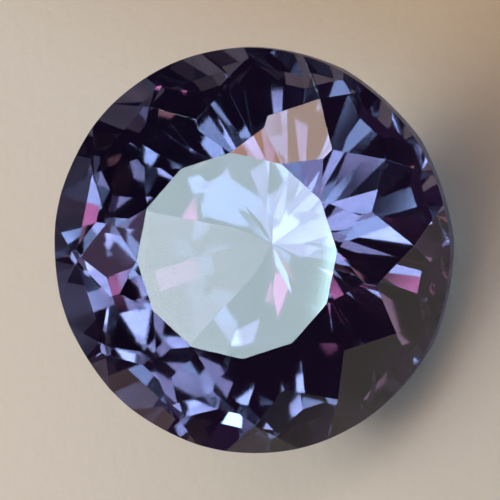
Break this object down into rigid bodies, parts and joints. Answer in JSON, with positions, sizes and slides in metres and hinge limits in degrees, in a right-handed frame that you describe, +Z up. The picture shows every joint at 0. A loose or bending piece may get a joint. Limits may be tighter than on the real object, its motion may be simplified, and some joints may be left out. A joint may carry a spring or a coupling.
{
  "type": "cut alexandrite gemstone",
  "caption": "Loose round faceted alexandrite with a kite-facet crown, small table, thick frosted girdle and pointed pavilion, lying on a pavilion facet.",
  "frame": {"origin": "centre of the bounding box's bottom face, on the surface that the stone lies on", "axes": "+Z up from the surface, +X along the widest line of the girdle; the table faces -Y and up"},
  "size_m": [0.01, 0.008, 0.0073],
  "materials": {
    "alexandrite": "polished facets, frosted girdle"
  },
  "bodies": {
    "root": {"cut_stone": "alexandrite"}
  },
  "joints": []
}
